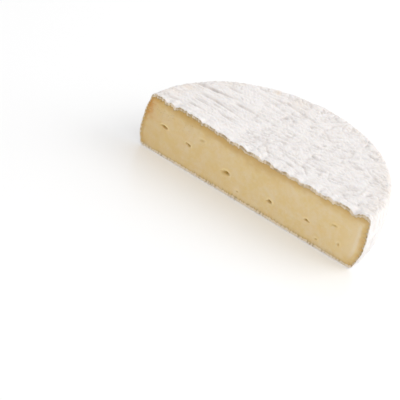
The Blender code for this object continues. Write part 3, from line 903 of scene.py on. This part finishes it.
def bloomy_rind(scene):
    """Bloomy mould rind: white mould felt grown on the curd and rubbed flat. It gives a dull, soft white,
    more grey where the felt is thin, and lets cream and pink through where it is thin, along the rim. The
    creases, pits and dents carry painted shade, and the cut edge a brown line of painted shade next to the
    paste."""
    colours = scene.brie_colours
    settings = {
        "Roughness": 0.9,
        "IOR": 1.4,
        "Specular IOR Level": 0.25,
        "Sheen Weight": 0.1,
        "Subsurface Weight": 0.15,
        "Subsurface Radius": (1.0, 0.8, 0.6),
        "Subsurface Scale": 1.0 * MM,
    }
    material, tree, shader = new_material("bloomy_mould_rind", settings)
    place = add_node(tree, "ShaderNodeTexCoord").outputs["Object"]
    share = {
        key: add_node(tree, "ShaderNodeAttribute", attribute_name=key).outputs["Fac"]
        for key in ("crease_shade", "tint", "cut", "edge_shade")
    }
    # Blotches of thicker and thinner felt, about 4 mm apart, broken up into flecks down to 0.25 mm
    felt = {"Vector": place, "Scale": 1 / FELT_BLOTCH, "Detail": 4.0, "Roughness": 0.75}
    blotch = add_node(tree, "ShaderNodeTexNoise", felt).outputs["Fac"]
    thinness = {"Value": blotch, "From Min": 0.45, "From Max": 0.72, "To Min": 0.0, "To Max": 0.45}
    thin = add_node(tree, "ShaderNodeMapRange", thinness).outputs["Result"]
    # The larger of the painted shade in the creases and the share of thinner felt greys the felt
    both = {0: share["crease_shade"], 1: thin}
    shade_and_thin_felt = add_node(tree, "ShaderNodeMath", both, operation="MAXIMUM", use_clamp=True).outputs[0]
    # At the cut, the felt gives way to the pale crumb of the rind, and that to a brown line of painted shade
    # next to the paste
    reach = {"Value": share["cut"], "From Min": 0.0, "From Max": 0.35}
    on_cut = add_node(tree, "ShaderNodeMapRange", reach).outputs["Result"]
    skin = colours.bloom
    for amount, tone in (
        (shade_and_thin_felt, colours.crease_shade),
        (share["tint"], colours.rim_tint),
        (on_cut, colours.rind_crumb),
        (share["edge_shade"], colours.rind_edge_shade),
    ):
        skin = add_node(tree, "ShaderNodeMix", {0: amount, 6: skin, 7: tone}, data_type="RGBA").outputs[2]
    # Felt of the mould: tufts about 0.8 mm across, drawn four times as coarse as real so that they show
    felt = {"Vector": place, "Scale": 1 / FELT_TUFT, "Detail": 3.0, "Roughness": 0.65}
    tufts = add_node(tree, "ShaderNodeTexNoise", felt).outputs["Fac"]
    bump = add_node(tree, "ShaderNodeBump", {"Height": tufts, "Strength": 0.6, "Distance": 0.3 * MM})
    tree.links.new(skin, shader.inputs["Base Color"])
    tree.links.new(bump.outputs[0], shader.inputs["Normal"])
    return material


def ripe_paste(scene):
    """Ripe paste of a soft cheese, cut with a knife: a moist, faintly translucent straw yellow with a satin
    face, ochre where it has ripened under the rind, with painted shade in the gas holes and as a brown line
    against the rind, and a painted highlight on the upper lips of the holes."""
    colours = scene.brie_colours
    settings = {
        "Roughness": 0.5,
        "IOR": 1.45,
        "Specular IOR Level": 0.4,
        "Subsurface Weight": 0.25,
        "Subsurface Radius": (1.0, 0.7, 0.35),
        "Subsurface Scale": 1.5 * MM,
    }
    material, tree, shader = new_material("ripened_soft_paste", settings)
    place = add_node(tree, "ShaderNodeTexCoord").outputs["Object"]
    share = {
        key: add_node(tree, "ShaderNodeAttribute", attribute_name=key).outputs["Fac"]
        for key in ("ripe", "amber", "line", "pale", "eye", "lip_highlight")
    }
    # Paler curd in clouds about 7 mm across, broken up into specks down to 0.2 mm
    curd = {"Vector": place, "Scale": 1 / CURD_CLOUD, "Detail": 5.0, "Roughness": 0.75}
    cloud = add_node(tree, "ShaderNodeTexNoise", curd).outputs["Fac"]
    paleness = {"Value": cloud, "From Min": 0.4, "From Max": 0.7, "To Min": 0.0, "To Max": 0.8}
    pale = add_node(tree, "ShaderNodeMapRange", paleness).outputs["Result"]
    both = {0: pale, 1: share["pale"]}
    paler = add_node(tree, "ShaderNodeMath", both, operation="MAXIMUM", use_clamp=True).outputs[0]
    mixed = colours.paste
    # The brown line against the rind and the darker gas holes are painted shade, and the pale lips a painted
    # highlight
    for amount, tone in (
        (paler, colours.paste_pale),
        (share["ripe"], colours.ripe_edge),
        (share["amber"], colours.amber),
        (share["line"], colours.rind_edge_shade),
        (share["lip_highlight"], colours.lip_highlight),
        (share["eye"], colours.eye),
    ):
        mixed = add_node(tree, "ShaderNodeMix", {0: amount, 6: mixed, 7: tone}, data_type="RGBA").outputs[2]
    # Fine grain of the curd, about 1 mm
    curd = {"Vector": place, "Scale": 1 / CURD_GRAIN, "Detail": 3.0, "Roughness": 0.6}
    grain = add_node(tree, "ShaderNodeTexNoise", curd).outputs["Fac"]
    bump = add_node(tree, "ShaderNodeBump", {"Height": grain, "Strength": 0.35, "Distance": 0.1 * MM})
    tree.links.new(mixed, shader.inputs["Base Color"])
    tree.links.new(bump.outputs[0], shader.inputs["Normal"])
    return material


def white_laminate(scene):
    """White laminate of a studio table, pressed smooth: an even white with a faint soft reflection."""
    settings = {"Base Color": scene.brie_colours.floor, "IOR": 1.45}
    material, tree, shader = new_material("white_table_laminate", settings)
    place = add_node(tree, "ShaderNodeTexCoord").outputs["Object"]
    patches = {"Vector": place, "Scale": 1 / GLOSS_PATCH, "Detail": 1.0}
    soft = add_node(tree, "ShaderNodeTexNoise", patches).outputs["Fac"]
    rough = add_node(tree, "ShaderNodeMapRange", {"Value": soft, "To Min": 0.22, "To Max": 0.28})
    tree.links.new(rough.outputs["Result"], shader.inputs["Roughness"])
    return material


class AddBrieStage(bpy.types.Operator):
    """Add the stage: a round pale floor, an even white dome, a broad soft key light and the camera"""

    bl_idname = "brie.add_stage"
    bl_label = "Add Stage"

    def execute(self, context):
        self.add_floor(context.scene)
        self.add_light(context.scene)
        self.add_camera(context.scene)
        return {"FINISHED"}

    @staticmethod
    def add_floor(scene):
        """A flat disc of rings, 2.4 m across, that lies just under the cheese."""
        turn, radius = np.meshgrid(np.linspace(0, 2 * math.pi, 97), FLOOR_RINGS)
        points = np.stack([radius * np.cos(turn), radius * np.sin(turn), 0 * turn], -1)
        index = np.arange(turn.size).reshape(turn.shape)
        mesh = bpy.data.meshes.new("studio_floor")
        mesh.from_pydata(points.reshape(-1, 3).tolist(), [], grid_quads(index).tolist())
        mesh.materials.append(white_laminate(scene))
        floor = bpy.data.objects.new("studio_floor", mesh)
        scene.collection.objects.link(floor)

    @staticmethod
    def add_light(scene):
        """An even dome fills from all round, a broad softbox stands at the back on the right, and a weaker
        and broader one at the front on the right."""
        scene.view_settings.view_transform = "Standard"
        world = bpy.data.worlds.new("studio_dome")
        world.use_nodes = True
        world.node_tree.nodes.clear()
        glow = {"Color": (1, 1, 1, 1), "Strength": DOME_STRENGTH}
        dome = add_node(world.node_tree, "ShaderNodeBackground", glow)
        add_node(world.node_tree, "ShaderNodeOutputWorld", {"Surface": dome.outputs[0]})
        scene.world = world
        for name, towards, distance, size, power in SOFTBOXES:
            light = bpy.data.lights.new(name, "AREA")
            light.energy = power
            light.size = size
            softbox = bpy.data.objects.new(name, light)
            softbox.location = Vector(towards).normalized() * distance
            softbox.rotation_euler = Vector(towards).to_track_quat("Z", "Y").to_euler()
            scene.collection.objects.link(softbox)

    @staticmethod
    def add_camera(scene):
        """A long lens that looks down on the cut from the front right, rolled as the cheese leans in the
        photo."""
        data = bpy.data.cameras.new("camera")
        data.sensor_width = CAMERA_SENSOR
        data.lens = CAMERA_LENS
        data.clip_start, data.clip_end = 0.01, 20.0
        camera = bpy.data.objects.new("camera", data)
        place = Vector(CAMERA_PLACE) + Vector((AXIS_X, CUT_Y, 0))
        turns = Euler([math.radians(turn) for turn in CAMERA_TURNS])
        camera.matrix_world = Matrix.LocRotScale(place, turns, None)
        scene.collection.objects.link(camera)
        scene.camera = camera


class BriePanel(bpy.types.Panel):
    """Sizes, colours and steps of the half brie"""

    bl_idname = "VIEW3D_PT_brie"
    bl_label = "Half Brie"
    bl_space_type = "VIEW_3D"
    bl_region_type = "UI"
    bl_category = "Brie"

    def draw(self, context):
        for group in (context.scene.brie_sizes, context.scene.brie_colours):
            box = self.layout.box()
            for key in group.bl_rna.properties.keys():
                if key not in ("rna_type", "name"):
                    box.prop(group, key)
        for step in STEPS:
            self.layout.operator(step.bl_idname)


STEPS = (AddBrieRind, AddBriePaste, AddBrieStage)
CLASSES = (BrieSizes, BrieColours, *STEPS, BriePanel)


def register():
    for item in CLASSES:
        bpy.utils.register_class(item)
    bpy.types.Scene.brie_sizes = PointerProperty(type=BrieSizes)
    bpy.types.Scene.brie_colours = PointerProperty(type=BrieColours)


def unregister():
    del bpy.types.Scene.brie_colours
    del bpy.types.Scene.brie_sizes
    for item in reversed(CLASSES):
        bpy.utils.unregister_class(item)


def main():
    register()
    bpy.ops.brie.add_rind()
    bpy.ops.brie.add_paste()
    bpy.ops.brie.add_stage()
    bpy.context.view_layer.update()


if __name__ == "__main__":
    main()
